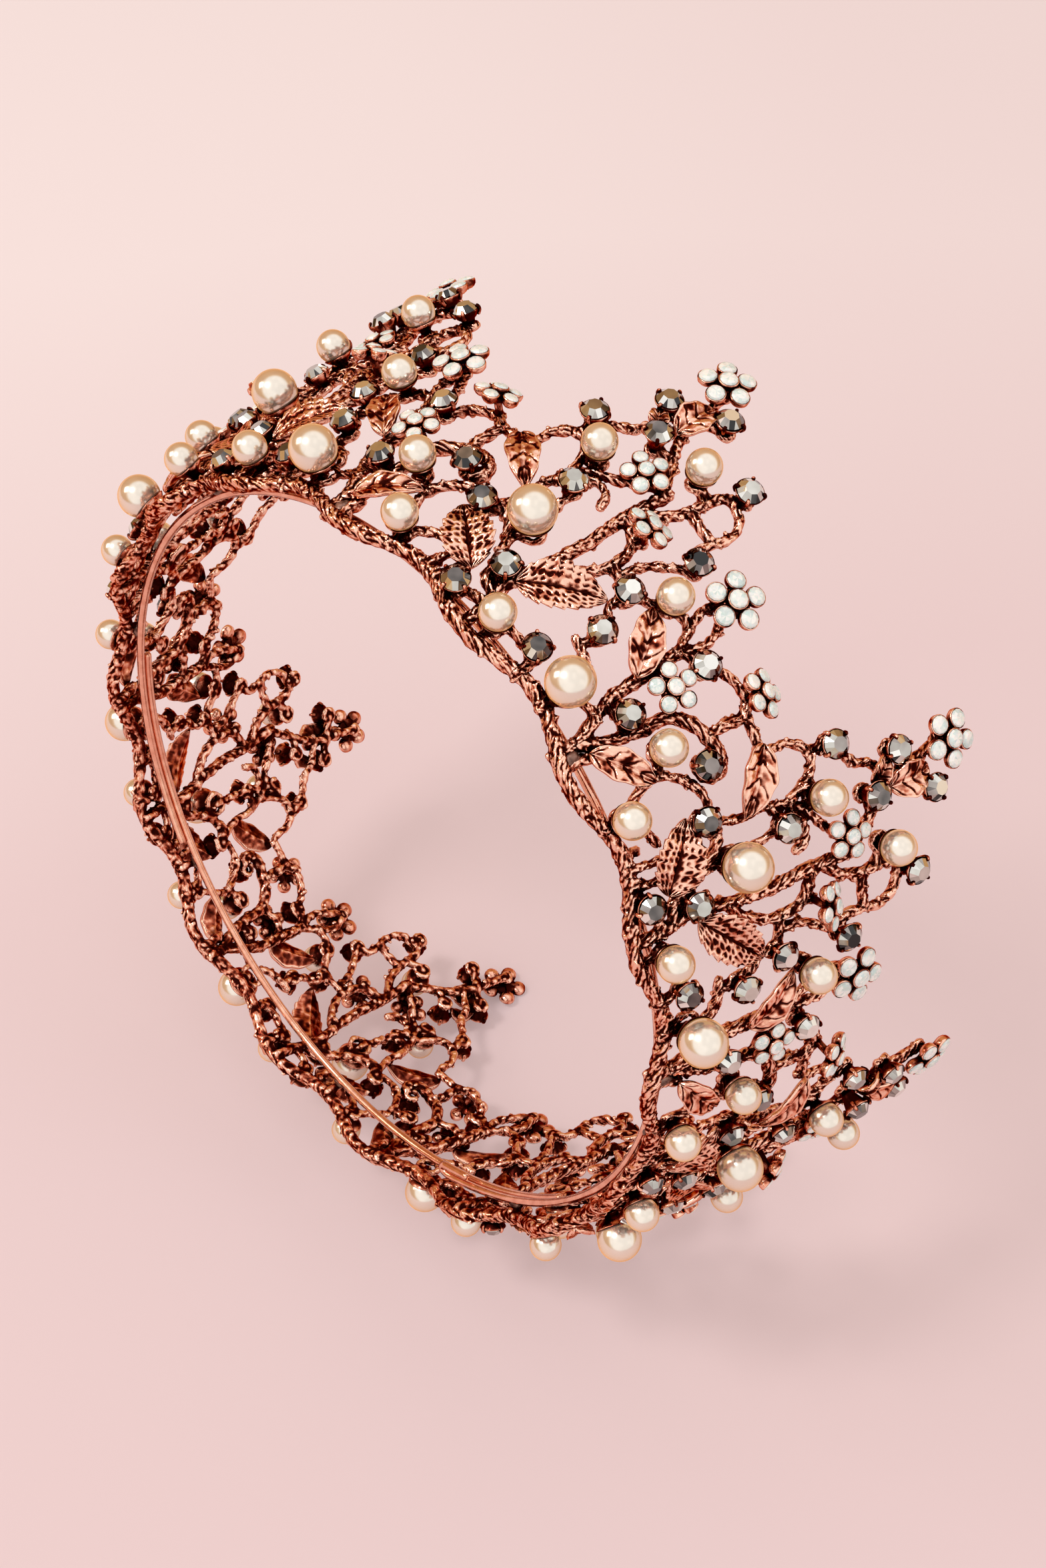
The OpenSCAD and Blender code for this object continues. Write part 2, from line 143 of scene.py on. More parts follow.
# Vines of one panel: thickness and the places that the vine runs through
STEM, ARM, TWIG = 2.5, 2.1, 1.8
VINES = [
    # Trunk at the joint with the next panel, forked into two arms
    (STEM, [(54, -1.5), (53.6, 2.5), (52.4, 5.5), (51, 8.5), (50.4, 11.5), (50.2, 15), (50, 19),
            (49.8, 23)]),
    (TWIG, [(49.8, 22.5), (48.5, 25.5), (47, 28.5), (46.4, 31), (47.2, 33.5)]),
    (TWIG, [(49.8, 22.5), (50.8, 26.5), (50.6, 29), (49.4, 31.5), (48.4, 33.8)]),
    (STEM, [(53.7, 1.5), (55.5, 5), (56.3, 8.5), (56.8, 12), (57, 16), (58.6, 18.5), (60.5, 20),
            (63, 20.8), (65.5, 21.2), (67.3, 20.3), (67.7, 18.5), (66.8, 17.4)]),
    (ARM, [(62, 20.6), (62, 24), (62.3, 27), (60.6, 29.3)]),
    (TWIG, [(60.8, 29), (63, 28), (65.2, 27.8), (66.9, 27.7)]),
    (TWIG, [(51, 8.6), (54, 9.9), (56.4, 9.2)]),
    (TWIG, [(50.3, 17), (52, 17.9), (53.8, 18.2), (55.5, 17.4), (57, 16.3)]),
    (TWIG, [(50, 23.4), (51.6, 24.6), (53.4, 24.9), (55.3, 27.6), (58, 29), (60.3, 29.3)]),
    (TWIG, [(49, 6), (51.5, 7)]),
    # Main trunk, with the arm that bows out to the right of it and comes back
    (STEM, [(28.5, -1.8), (28.3, 3), (27.6, 6), (27.3, 9), (28, 12.5), (28.5, 15.5), (28.9, 19),
            (29.2, 23), (29, 27), (29, 31), (29.3, 35), (29.5, 38)]),
    (ARM, [(28.4, 14.2), (30.3, 15.5), (32.3, 18), (33.8, 21), (34, 24), (33.4, 26.8), (31.5, 28.6),
           (29, 29.8)]),
    (TWIG, [(33.2, 26.8), (33.6, 29)]),
    (ARM, [(29.4, 37), (27.3, 40.5), (25, 44), (23, 47.5), (22, 51), (21.5, 55), (20.8, 59.6)]),
    (TWIG, [(22, 42.6), (25.6, 43.2)]),
    (TWIG, [(18.4, 49.4), (20.4, 50.6), (22, 52), (24, 53.6), (25.7, 54.5)]),
    (ARM, [(29.2, 31.5), (31, 33.5), (32.5, 36), (33.3, 39), (33.6, 42), (33.8, 44.5), (35, 46.5),
           (36.2, 48)]),
    (TWIG, [(33.6, 41.6), (32, 43), (30.3, 43.5)]),
    (TWIG, [(35.4, 46.6), (36.6, 45.8), (38, 45.3), (39.3, 43.5), (39.6, 41), (39.2, 38.5), (38.8, 36),
            (39.4, 34), (40.8, 33)]),
    (TWIG, [(33.3, 38.9), (36, 38.6), (39.2, 38.6)]),
    # Left side: the arch over the low pearl and the loop above it
    (TWIG, [(5.8, 8.8), (6, 11), (7.3, 13.3), (9.3, 15.2), (11.3, 16.2), (13.8, 16), (14.8, 14.4)]),
    (TWIG, [(6, 10.8), (4, 11.8), (2.6, 12.6)]),
    (ARM, [(14.8, 14.6), (17.3, 16), (19.5, 15), (21.5, 12.7), (22.8, 10.2), (23.8, 7.8), (25, 6),
           (27.8, 5.3)]),
    (TWIG, [(24.4, 8.2), (25.8, 9)]),
    (TWIG, [(15, 14.6), (16.6, 18.5), (17.2, 21), (17, 23.5), (17.5, 26), (18.5, 28.8), (20, 31), (22, 32.5),
            (24, 34), (26, 35.8), (28, 37.3), (29.4, 38)]),
    (TWIG, [(9.2, 27.2), (10.2, 29.5), (10.4, 32), (11.4, 33.9), (13, 35.2), (15, 35), (16.5, 33.3),
            (17.5, 31), (18.6, 28.8)]),
    (TWIG, [(13, 35), (13.2, 37), (13.6, 39), (16, 41.2), (17.8, 43), (18.8, 45.3), (20.5, 46.8),
            (22.8, 48.6)]),
    (TWIG, [(16.3, 33.6), (18.5, 33.6), (20.4, 31.6)]),
    (TWIG, [(17.3, 25.4), (19, 26.6), (20.9, 26.4), (21.5, 23.5), (22, 20), (22.3, 16.8), (21.6, 13)]),
    (TWIG, [(20.8, 26.8), (20.5, 29.4), (22.2, 30.6), (24.4, 30), (25.5, 28)]),
    # Right side: the crystals' links and the arch that rises to the loop
    (TWIG, [(33.9, 22.5), (36, 22.3), (38.7, 21.5), (41.3, 23.4), (43.2, 25.6), (45.6, 26.8), (48.1, 26.6)]),
    (TWIG, [(36, 22.3), (36.2, 25), (37.3, 28), (39, 30.3), (40.7, 32.6)]),
    (TWIG, [(41.8, 13.8), (40.6, 16.4), (38.8, 18.2), (39.1, 21)]),
    (TWIG, [(40.1, 10.8), (42.4, 10.4), (44.6, 9.6), (46.2, 8)]),
    (TWIG, [(41.5, 10.6), (41.8, 13)]),
    # Feet that rise from the rail
    (TWIG, [(46.5, -0.2), (46.3, 2.4), (46, 4.6)]),
    (TWIG, [(40, 0.4), (39.7, 2.4), (38.9, 4.3)]),
    (TWIG, [(32, 3.2), (35, 3.8), (38.7, 4.2)]),
    (TWIG, [(31.8, -2), (31.8, 2.4)]),
    (TWIG, [(9.6, -0.4), (9.2, 3)]),
    (TWIG, [(10, 4), (12.4, 5.6), (15, 6.6)]),
    (TWIG, [(6, 9), (7, 6.5), (8.6, 4)]),
    (TWIG, [(17, 1), (17.2, 3.6), (17.6, 6)]),
    (TWIG, [(19.8, 0.6), (20.2, 3.6), (20.4, 6.6)]),
    (TWIG, [(23, -0.9), (23, 1.7), (26, 3), (28.2, 3)]),
    (ARM, [(-1.6, -1.8), (-1.9, 0.6), (-1.2, 3.2)]),
]


def turn_of(u):
    return math.radians(u / PITCH * 360 / PANELS)


def wall_r(v):
    t = v / DRAWN_H
    return RING_R + FLARE * ((1 + BOW) * t - BOW * t * t)


def wall_z(v):
    return ZERO_Z + TIP_H * v / DRAWN_H


def lean(v):
    return math.atan(FLARE * (1 + BOW - 2 * BOW * v / DRAWN_H) / TIP_H)


def turned(axis, degrees):
    return Matrix.Rotation(math.radians(degrees), 4, axis)


def moved(x, y, z):
    return Matrix.Translation((x, y, z))


def seat(u, v, lift=0.0, tilt=0.0):
    """Frame of a piece on the wall: its Z points out of the wall and its X points down it."""
    frame_turn = Matrix.Rotation(turn_of(u), 4, "Z")
    out = Matrix.Rotation(math.pi / 2 + lean(v), 4, "Y")
    return frame_turn @ moved(wall_r(v), 0, wall_z(v)) @ out @ moved(0, 0, lift) @ turned("Y", -tilt)


def on_wall(u, v, lift=0.0):
    return seat(u, v) @ Vector((0, 0, lift))


def on_ring(r, degrees, z):
    a = math.radians(degrees)
    return Vector((r * math.cos(a), r * math.sin(a), z))


class Shape:
    """Points and faces collected piece by piece. Every point has a value of patina and painted shade, from 0
    to 1.
    """

    def __init__(self):
        self.points = []
        self.faces = []
        self.patina_and_shade = []

    def add(self, points, faces, matrix=None, patina_and_shade=None):
        first = len(self.points)
        self.points += [matrix @ p for p in points] if matrix else list(points)
        self.faces += [[first + k for k in face] for face in faces]
        self.patina_and_shade += patina_and_shade if patina_and_shade else [0.5] * len(points)

    def mesh(self, name):
        mesh = bpy.data.meshes.new(name)
        mesh.from_pydata(self.points, [], self.faces)
        mesh.update()
        return mesh


def lathe(profile, sides, start=0.0):
    """Points and faces of a profile of (radius, height) turned about Z. A radius of 0 is one point."""
    points, rings = [], []
    for r, z in profile:
        if r == 0:
            rings.append([len(points)] * sides)
            points.append(Vector((0, 0, z)))
            continue
        rings.append(list(range(len(points), len(points) + sides)))
        for k in range(sides):
            a = 2 * math.pi * k / sides + start
            points.append(Vector((r * math.cos(a), r * math.sin(a), z)))
    faces = []
    for low, high in zip(rings, rings[1:]):
        for k in range(sides):
            n = (k + 1) % sides
            face = list(dict.fromkeys([low[k], low[n], high[n], high[k]]))
            if len(face) > 2:
                faces.append(face)
    return points, faces


def ring_hollows(profile, sides, values):
    """One patina value for each point that lathe makes of a profile."""
    return [h for (r, _), h in zip(profile, values) for _ in range(sides if r else 1)]


def arc(radius, start, end, steps, middle=0.0):
    """Profile points on a circle about (0, middle), from start to end in degrees above its equator."""
    angles = [math.radians(start + (end - start) * k / steps) for k in range(steps + 1)]
    return [(radius * math.cos(a), middle + radius * math.sin(a)) for a in angles]


def curve(places, step):
    """Points about step apart on a smooth curve through the places."""
    knots = [Vector(p) for p in places]
    knots = [2 * knots[0] - knots[1], *knots, 2 * knots[-1] - knots[-2]]
    found = []
    for a, b, c, d in zip(knots, knots[1:], knots[2:], knots[3:]):
        steps = max(1, round((c - b).length / step))
        for k in range(steps):
            t = k / steps
            found.append(0.5 * (2 * b + t * (c - a) + t * t * (2 * a - 5 * b + 4 * c - d)
                                + t ** 3 * (3 * b - a - 3 * c + d)))
    return [*found, knots[-2]]


ROUND_END = [(0.94, 0.34), (0.64, 0.77)]


def tube(path, radii, sides):
    """Points and faces of a tube along a path, with round ends."""
    tangents = [(b - a).normalized() for a, b in zip([path[0], *path[:-1]], [*path[1:], path[-1]])]
    tangents[0] = (path[1] - path[0]).normalized()
    side = tangents[0].orthogonal().normalized()
    points, rings = [], []

    def ring(middle, along, across, radius):
        deep = along.cross(across)
        rings.append(len(points))
        for k in range(sides):
            a = 2 * math.pi * k / sides
            points.append(middle + radius * (math.cos(a) * across + math.sin(a) * deep))

    last = len(path) - 1
    for i, (p, along, radius) in enumerate(zip(path, tangents, radii)):
        side = (side - side.dot(along) * along).normalized()
        if i == 0:
            for share, out in reversed(ROUND_END):
                ring(p - out * radius * along, along, side, share * radius)
        ring(p, along, side, radius)
        if i == last:
            for share, out in ROUND_END:
                ring(p + out * radius * along, along, side, share * radius)
    faces = []
    for low, high in zip(rings, rings[1:]):
        for k in range(sides):
            n = (k + 1) % sides
            faces.append([low + k, low + n, high + n, high + k])
    faces.append(list(range(rings[0], rings[0] + sides))[::-1])
    faces.append(list(range(rings[-1], rings[-1] + sides)))
    return points, faces


def arrays_of(mesh):
    """A mesh's points, normals and edges as arrays."""
    points = np.empty(len(mesh.vertices) * 3, np.float32)
    normals = np.empty(len(mesh.vertices) * 3, np.float32)
    edges = np.empty(len(mesh.edges) * 2, np.int32)
    mesh.vertices.foreach_get("co", points)
    mesh.vertices.foreach_get("normal", normals)
    mesh.edges.foreach_get("vertices", edges)
    return points.reshape(-1, 3).astype(float), normals.reshape(-1, 3).astype(float), edges.reshape(-1, 2)


def relaxed(points, edges, passes):
    """The points, each drawn halfway to the middle of its neighbours, a number of times."""
    count = len(points)
    ends = np.concatenate([edges[:, 0], edges[:, 1]])
    others = np.concatenate([edges[:, 1], edges[:, 0]])
    degree = np.maximum(np.bincount(ends, minlength=count), 1)
    for _ in range(passes):
        middle = [np.bincount(ends, points[others, k], count) / degree for k in range(3)]
        points = 0.5 * points + 0.5 * np.stack(middle, axis=1)
    return points


def new_object(name, data):
    """A new object in the scene."""
    thing = bpy.data.objects.new(name, data)
    bpy.context.scene.collection.objects.link(thing)
    return thing


def set_points(mesh, points):
    mesh.vertices.foreach_set("co", points.astype(np.float32).ravel())
    mesh.update()


def cavity(mesh, passes, full):
    """Hollow values of a mesh: 0.5 on flat ground, 1 where it lies the full depth under its edges."""
    points, normals, edges = arrays_of(mesh)
    depth = ((relaxed(points, edges, passes) - points) * normals).sum(axis=1)
    return np.clip(0.5 + 0.5 * depth / full, 0, 1)


def facing_in(points, normals):
    """1 where a surface faces the head, 0 where it faces away."""
    outward = (points[:, :2] * normals[:, :2]).sum(axis=1) / np.hypot(points[:, 0], points[:, 1])
    return np.clip(-outward, 0, 1)


SMOOTH_GRAIN = 0.35
# How much of the bark is worn off on the side that faces the head
BACK_WORN = 0.75


def set_cast_layers(mesh, patina_and_shade, grain):
    """Gives cast metal its patina and painted shade, the place of its grain and its share of bark at every
    point.
    """
    points, normals, _ = arrays_of(mesh)
    grain = SMOOTH_GRAIN * points if grain is None else grain
    bark = 1 - BACK_WORN * facing_in(points, normals)
    for name, values in (("patina_and_painted_shade", patina_and_shade), ("bark", bark)):
        layer = mesh.attributes.new(name, "FLOAT", "POINT")
        layer.data.foreach_set("value", np.asarray(values, np.float32))
    layer = mesh.attributes.new("grain", "FLOAT_VECTOR", "POINT")
    layer.data.foreach_set("vector", np.asarray(grain, np.float32).ravel())


def finished(mesh, material, patina_and_shade=None, grain=None, smooth=True):
    """Turns a mesh into metres and gives it its material. Only cast metal has patina and painted shade."""
    if patina_and_shade is not None:
        set_cast_layers(mesh, patina_and_shade, grain)
    mesh.transform(Matrix.Scale(MM, 4))
    mesh.materials.append(material)
    mesh.polygons.foreach_set("use_smooth", [smooth] * len(mesh.polygons))
    mesh.update()
    return mesh


# Materials


class Nodes:
    """Short calls that add nodes to a tree."""

    def __init__(self, tree):
        self.tree = tree

    def add(self, kind, **settings):
        node = self.tree.nodes.new(kind)
        for key, value in settings.items():
            setattr(node, key, value)
        return node

    def link(self, output, target):
        self.tree.links.new(output, target)

    def attribute(self, name, output):
        return self.add("ShaderNodeAttribute", attribute_name=name).outputs[output]

    def noise(self, scale, detail=3.0, place=None):
        """Fac of a noise texture with scale lumps per millimetre. A place of its own is in millimetres."""
        texture = self.add("ShaderNodeTexNoise")
        texture.inputs["Scale"].default_value = scale if place else scale / MM
        texture.inputs["Detail"].default_value = detail
        self.link(place or self.add("ShaderNodeTexCoord").outputs["Object"], texture.inputs["Vector"])
        return texture.outputs["Fac"]

    def ramp(self, value, stops):
        node = self.add("ShaderNodeValToRGB")
        elements = node.color_ramp.elements
        while len(elements) < len(stops):
            elements.new(0.5)
        for element, (place, colour) in zip(elements, stops):
            element.position = place
            element.color = (*colour, 1)
        self.link(value, node.inputs["Fac"])
        return node.outputs["Color"]

    def spread(self, value, low, high, start=0.0, end=1.0, kind="LINEAR"):
        """value from start to end, spread over low to high."""
        node = self.add("ShaderNodeMapRange", interpolation_type=kind)
        for socket, limit in (("From Min", start), ("From Max", end), ("To Min", low), ("To Max", high)):
            node.inputs[socket].default_value = limit
        self.link(value, node.inputs["Value"])
        return node.outputs["Result"]

    def mixed(self, share, first, second):
        """A share of the second shader and the rest of the first."""
        node = self.add("ShaderNodeMixShader")
        for k, output in enumerate((share, first, second)):
            self.link(output, node.inputs[k])
        return node.outputs["Shader"]

    def joined(self, a, b, operation="ADD"):
        """Two values added, or joined by another operation."""
        node = self.add("ShaderNodeMath", operation=operation)
        self.link(a, node.inputs[0])
        self.link(b, node.inputs[1])
        return node.outputs["Value"]


class Look(Nodes):
    """A material with a Principled shader."""

    def __init__(self, name):
        self.material = bpy.data.materials.new(name)
        self.material.use_nodes = True
        super().__init__(self.material.node_tree)
        self.shader = self.tree.nodes["Principled BSDF"]

    def set(self, **values):
        for key, value in values.items():
            self.shader.inputs[key.replace("_", " ")].default_value = value

    def colour(self, output):
        self.link(output, self.shader.inputs["Base Color"])

    def rough(self, output):
        self.link(output, self.shader.inputs["Roughness"])

    def bump(self, height, depth):
        """Bump of a depth in millimetres."""
        node = self.add("ShaderNodeBump")
        node.inputs["Distance"].default_value = depth * MM
        self.link(height, node.inputs["Height"])
        self.link(node.outputs["Normal"], self.shader.inputs["Normal"])


def antique_copper():
    """Rubbed copper: bright on the ridges, with brown-black patina in its recesses, and painted shade in
    sheltered corners, between parts and on the side that faces the head.
    """
    n = Look("antique_copper")
    n.set(Metallic=1.0, Specular_Tint=(0.85, 0.32, 0.20, 1))
    ridge = n.noise(1.4, 1.8, n.attribute("grain", "Vector"))
    # Painted shade: ambient occlusion darkens sheltered corners and the gaps between parts.
    occlusion_shade = n.add("ShaderNodeAmbientOcclusion", samples=6)
    occlusion_shade.inputs["Distance"].default_value = 2.2 * MM
    rough_share = n.attribute("bark", "Fac")
    bark = n.joined(n.spread(ridge, 0.95, -0.95), rough_share, "MULTIPLY")
    # Wear and patina, with painted shade on the side that faces the head and in sheltered corners.
    wear_and_shade = n.joined(n.spread(n.attribute("patina_and_painted_shade", "Fac"), -0.08, 1.16), bark)
    wear_and_shade = n.joined(wear_and_shade, n.spread(n.noise(0.3), -0.25, 0.25))
    wear_and_shade = n.joined(wear_and_shade, n.spread(occlusion_shade.outputs["AO"], 0.92, -0.08))
    n.colour(n.ramp(wear_and_shade, [
        (0.20, (0.98, 0.60, 0.45)),
        (0.34, (0.86, 0.35, 0.22)),
        (0.44, (0.50, 0.11, 0.055)),
        (0.53, (0.12, 0.014, 0.007)),
        (0.64, (0.025, 0.0025, 0.0015)),
    ]))
    n.rough(n.spread(wear_and_shade, 0.08, 0.36))
    relief = n.joined(ridge, rough_share, "MULTIPLY")
    n.bump(n.joined(relief, n.spread(n.noise(2.4, 1.0), 0, 0.1)), 0.32)
    return n.material


def drawn_copper():
    """Smooth red copper wire, a little mottled."""
    n = Look("copper_wire")
    n.set(Metallic=1.0)
    mark = n.noise(0.5)
    n.colour(n.ramp(mark, [(0.3, (0.76, 0.33, 0.21)), (0.7, (0.94, 0.52, 0.37))]))
    n.rough(n.spread(mark, 0.08, 0.20))
    n.bump(n.noise(3.0, 2.0), 0.02)
    return n.material


def dark_solder():
    """Solder darkened by the patina, lumpy and dull."""
    n = Look("solder")
    n.set(Metallic=1.0)
    lump = n.noise(0.8)
    n.colour(n.ramp(lump, [(0.3, (0.05, 0.025, 0.02)), (0.7, (0.40, 0.22, 0.17))]))
    n.rough(n.spread(lump, 0.3, 0.6))
    n.bump(n.noise(1.6), 0.1)
    return n.material


def nacre():
    """Cream pearl lacquer: a soft white lustre over a golden body, under a clear coat."""
    n = Look("pearl")
    n.set(Metallic=0.82, Roughness=0.2, Specular_Tint=(0.95, 0.55, 0.16, 1))
    n.set(Sheen_Weight=1.0, Sheen_Roughness=0.5, Sheen_Tint=(0.82, 0.38, 0.07, 1))
    n.set(Coat_Weight=0.6, Coat_Roughness=0.05, Coat_IOR=1.6, Coat_Tint=(1.0, 0.975, 0.93, 1))
    n.colour(n.ramp(n.noise(0.25, 2.0), [(0.3, (0.82, 0.76, 0.685)), (0.7, (0.85, 0.80, 0.73))]))
    n.bump(n.noise(1.2, 2.0), 0.004)
    return n.material


def hematite():
    """Grey mirror-coated crystal with painted reflections: every face gets a brightness of its own, cool on
    some facets and warm on others.
    """
    n = Look("crystal")
    n.set(Metallic=1.0)
    # Painted reflection: each face's own brightness stands in for the bright and dark room that it mirrors.
    tone_and_facet_light = n.joined(n.attribute("painted_facet_light", "Fac"), n.spread(n.noise(0.5, 1.0), -0.15, 0.15))
    n.colour(n.ramp(tone_and_facet_light, [
        (0.1, (0.05, 0.05, 0.05)),
        (0.4, (0.34, 0.29, 0.27)),
        (0.65, (0.55, 0.53, 0.48)),
        (0.95, (0.88, 0.86, 0.81)),
    ]))
    n.rough(n.spread(tone_and_facet_light, 0.03, 0.08))
    return n.material


def milk_opal():
    """Milky white opal glass with a faint play of green, blue and pink, and painted light and shade that
    differ from face to face.
    """
    n = Look("opal")
    n.set(Roughness=0.18, Specular_IOR_Level=0.9, Coat_Weight=0.5, Coat_Roughness=0.1)
    n.set(Subsurface_Weight=0.2, Subsurface_Scale=0.5 * MM)
    # Painted light and shade: some faces a little lighter and others a little darker, on top of the opal's
    # own play of colour.
    tone_and_facet_light = n.joined(n.noise(0.5, 2.0), n.spread(n.attribute("painted_facet_light", "Fac"), -0.22, 0.22))
    n.colour(n.ramp(tone_and_facet_light, [
        (0.28, (0.55, 0.64, 0.61)),
        (0.5, (0.74, 0.76, 0.72)),
        (0.72, (0.86, 0.82, 0.77)),
    ]))
    return n.material


# The vines


def fused(shape, voxel):
    """One skin round all the overlapping pieces of a shape."""
    draft = new_object("draft", shape.mesh("draft"))
    remesh = draft.modifiers.new("skin", "REMESH")
    remesh.mode = "VOXEL"
    remesh.voxel_size = voxel
    skin = bpy.data.meshes.new_from_object(draft.evaluated_get(bpy.context.evaluated_depsgraph_get()))
    bpy.data.objects.remove(draft)
    return skin


def lumps(place, height, scale):
    """Soft lumps of about a height in millimetres, with a number of them to a millimetre."""
    return height * noise.noise(place * scale)


VINE_STEP = 0.5
VINE_SIDES = 10
VINE_VOXEL = 0.24
RAIL_LAP = 0.4
# A vine's girth: its mean share of the drawn thickness, and how it swells and thins along the vine
VINE_GIRTH = 0.94
GIRTH_LUMPS = (0.16, 0.45)
SKIN_PASSES = 2
SKIN_SWELL = 0.03

# Knots: ranges of the way between them and of their size, then shares of that size
KNOT_GAP = (1.4, 3.0)
KNOT_SIZE = (0.42, 0.70)
KNOT_OUT = 0.15
KNOT_FOOT = 1.3
KNOT_TIP = 0.8
KNOT_SIDES = 8

# Cast rings behind the settings: thickness, level, and radius as a share of the stone's diameter
BOSS_T = 1.2
BOSS_LIFT = -0.1
PEARL_BOSS = 0.34
CRYSTAL_BOSS = 0.40
FLOWER_BOSS = 0.5

# Bark: how far its pattern moves on for each millimetre along a vine, and its grooves
GRAIN_WAY = Vector((0.54, 0.36, 0.26))
GROOVE_DEPTH = 0.26
GROOVE_SCALE = 1.2
GROOVE_SHARP = 2.4
COARSE_LUMPS = (0.24, 0.8)
FINE_LUMPS = (0.10, 1.9)
# The side that faces the head: fuller and lumpier, with shallow grooves, and darker by painted shade
BACK_FILL = 0.22
BACK_LUMPS = (0.30, 0.6)
BACK_SMOOTH = 0.85
BACK_PAINTED_SHADE = 0.21
# Passes of smoothing and depth for the vines' hollows
VINE_CAVITY = (10, 0.15)


def rail_height(u):
    return RAIL_MID_Z + RAIL_WAVE * math.cos(math.radians(360 * RAIL_WAVES * (u - CREST_U) / PITCH))


def vine_paths():
    """Middle line and thickness of the rail, the solder lug and every vine."""
    spots = np.arange(JOINT_U - RAIL_LAP, JOINT_U + PITCH + RAIL_LAP, VINE_STEP)
    rail = [on_ring(RING_R, math.degrees(turn_of(u)), rail_height(u)) for u in spots]
    lug_r = (LUG_FACE_R + RING_R) / 2
    lug_turn = math.degrees(turn_of(CREST_U))
    lug = [on_ring(lug_r, lug_turn, z) for z in np.arange(rail_height(CREST_U), LUG_TOP_Z, VINE_STEP)]
    paths = [(rail, RAIL_D), (lug, RING_R - LUG_FACE_R)]
    for thickness, places in VINES:
        paths.append(([on_wall(u, v) for u, v in curve(places, VINE_STEP)], thickness))
    return paths


def knots(path, radii, chance):
    """Points and faces of each knot on a vine."""
    walked, next_knot = 0.0, chance.uniform(*KNOT_GAP)
    for p, q, radius in zip(path, path[1:], radii):
        walked += (q - p).length
        if walked < next_knot:
            continue
        next_knot = walked + chance.uniform(*KNOT_GAP)
        along = (q - p).normalized()
        side = Matrix.Rotation(chance.uniform(0, 2 * math.pi), 3, along) @ along.orthogonal().normalized()
        size = chance.uniform(*KNOT_SIZE)
        tip = p + (radius + KNOT_OUT * size) * side
        yield tube([p, tip], [KNOT_FOOT * size, KNOT_TIP * size], KNOT_SIDES)


def bosses():
    """Place and radius of the cast ring behind every setting."""
    yield from ((place, PEARL_BOSS * pearl_d) for place, pearl_d in PEARLS)
    yield from (((u, v), CRYSTAL_BOSS * CRYSTAL_D) for u, v, _ in CRYSTALS)
    yield from (((flower.u, flower.v), FLOWER_BOSS * flower.opal_d) for flower in FLOWERS)


def boss(radius):
    """Points and faces of a cast ring."""
    middle = radius - BOSS_T / 2
    return lathe([(middle + r, z) for r, z in arc(BOSS_T / 2, -180, 180, 12)], 24)


def vine_skin(paths):
    """The vines with their knots and the rings behind the settings, fused into one smooth skin."""
    chance = random.Random(11)
    shape = Shape()
    for path, thickness in paths:
        radii = [thickness / 2 * (VINE_GIRTH + lumps(p, *GIRTH_LUMPS)) for p in path]
        shape.add(*tube(path, radii, VINE_SIDES))
        for knot in knots(path, radii, chance):
            shape.add(*knot)
    for (u, v), radius in bosses():
        shape.add(*boss(radius), seat(u, v, BOSS_LIFT))
    skin = fused(shape, VINE_VOXEL)
    points, normals, edges = arrays_of(skin)
    set_points(skin, relaxed(points, edges, SKIN_PASSES) + SKIN_SWELL * normals)
    return skin


class Spine:
    """The middle lines of all the vines, with the way and the distance along them at every point."""

    def __init__(self, paths):
        middles = []
        self.ways = []
        self.distances = []
        for path, _ in paths:
            self.distances += [VINE_STEP * (len(middles) + k) for k in range(len(path))]
            self.ways += [(b - a).normalized() for a, b in zip([path[0], *path], [*path[1:], path[-1]])]
            middles += path
        self.tree = KDTree(len(middles))
        for k, p in enumerate(middles):
            self.tree.insert(p, k)
        self.tree.balance()

    def grain(self, p):
        """Where a point lies in the bark's pattern, which is drawn out along the vines."""
        middle, nearest, _ = self.tree.find(p)
        way = self.ways[nearest]
        past = (p - middle).dot(way)
        return p - middle - past * way + GRAIN_WAY * (self.distances[nearest] + past)


def bark_depth(p, grain, inward):
    """How far the skin sinks into its grooves at a point, less its lumps."""
    groove = max(0.0, 1 - GROOVE_SHARP * abs(noise.noise(grain * GROOVE_SCALE)))
    lump = lumps(p, *COARSE_LUMPS) + (1 - inward) * lumps(p, *FINE_LUMPS)
    lump += inward * (BACK_FILL + lumps(p, *BACK_LUMPS))
    return GROOVE_DEPTH * groove * (1 - BACK_SMOOTH * inward) - lump


def vine_mesh(material):
    """The cast vines, with a bark of grooves along them. They stand flat on the ground."""
    paths = vine_paths()
    skin, spine = vine_skin(paths), Spine(paths)
    points, normals, _ = arrays_of(skin)
    inward = facing_in(points, normals)
    spots = [Vector(p) for p in points]
    grain = [spine.grain(p) for p in spots]
    depth = np.array([bark_depth(*spot) for spot in zip(spots, grain, inward)])
    points -= depth[:, None] * normals
    points[:, 2] = np.maximum(points[:, 2], 0)
    set_points(skin, points)
    # Patina in the recesses, and painted shade on the side that faces the head.
    return finished(skin, material, cavity(skin, *VINE_CAVITY) + BACK_PAINTED_SHADE * inward, grain)


# The leaves


LEAF_ROWS = 64
LEAF_COLUMNS = 40
# Heights across a leaf: the fold of its halves, its edge, the bulge of its back and the lumps on that
LEAF_FOLD = 0.30
LEAF_EDGE = 0.45
LEAF_BULGE = 0.35
LEAF_LUMPS = (0.22, 0.9)
# Half-width under which the relief fades out
LEAF_FADE = 0.8
TEETH = 7
# Hollows of a leaf: passes of smoothing and depth, their share, the rubbing and the back's painted shade
LEAF_CAVITY = (14, 0.20)
LEAF_HOLLOW = 0.9
LEAF_RUBBED = 0.06
LEAF_BACK_PAINTED_SHADE = 0.13

